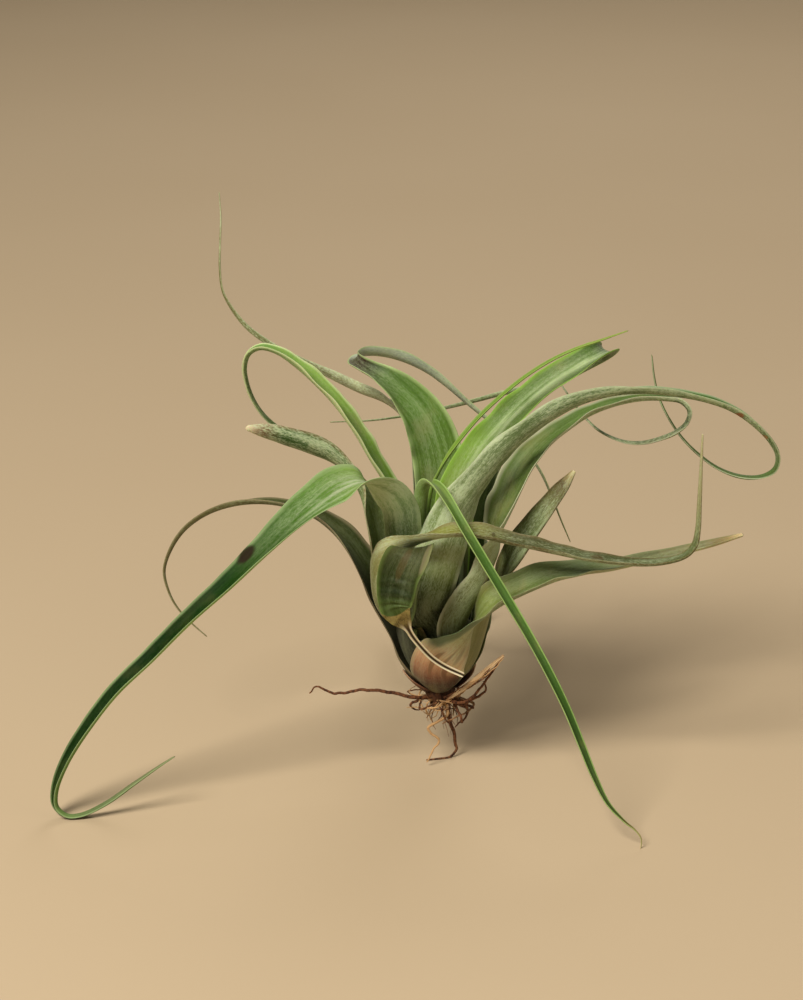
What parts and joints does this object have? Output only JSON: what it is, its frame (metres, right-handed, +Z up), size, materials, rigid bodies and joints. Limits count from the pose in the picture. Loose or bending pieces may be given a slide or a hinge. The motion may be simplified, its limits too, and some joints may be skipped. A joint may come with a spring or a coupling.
{
  "type": "air plant",
  "caption": "Curly air plant without a pot: a rosette of channelled, curling leaves on a short stem with a tuft of wiry roots, resting on its lowest leaves.",
  "frame": {"origin": "on the table under the axis of the rosette, where the root that reaches the table lies flat", "axes": "+Z up, -Y towards the front of the plant, +X to its right as the front is seen"},
  "size_m": [0.2136, 0.1647, 0.1619],
  "materials": {
    "leaf_green": "matte, finely scaled leaf",
    "leaf_silver": "matte, silvery scaled leaf",
    "leaf_olive": "matte, ageing leaf",
    "dry_scale": "dry and papery",
    "root": "rough and fibrous",
    "dry_strand": "dry and fibrous"
  },
  "bodies": {
    "root": {"leaf_young_spike": "leaf_green", "leaf_green_loop_left": "leaf_green", "leaf_centre_green": "leaf_green", "leaf_centre_folded": "leaf_green", "leaf_front_drooping": "leaf_green", "leaf_right_inner_loop": "leaf_green", "leaf_long_left": "leaf_silver", "leaf_big_right_loop": "leaf_silver", "leaf_short_left": "leaf_silver", "leaf_back_whip": "leaf_silver", "leaf_back_short": "leaf_silver", "leaf_back_left": "leaf_silver", "leaf_back_right": "leaf_silver", "leaf_kinked_right": "leaf_olive", "leaf_upper_left_whip": "leaf_olive", "leaf_dry_tip": "leaf_olive", "leaf_short_right": "leaf_olive", "leaf_hook_left": "leaf_olive", "leaf_low_right": "leaf_olive", "scale_left": "dry_scale", "scale_right": "dry_scale", "scale_back": "dry_scale", "stem_and_roots": "root", "dry_root_strap": "dry_strand"}
  },
  "joints": []
}
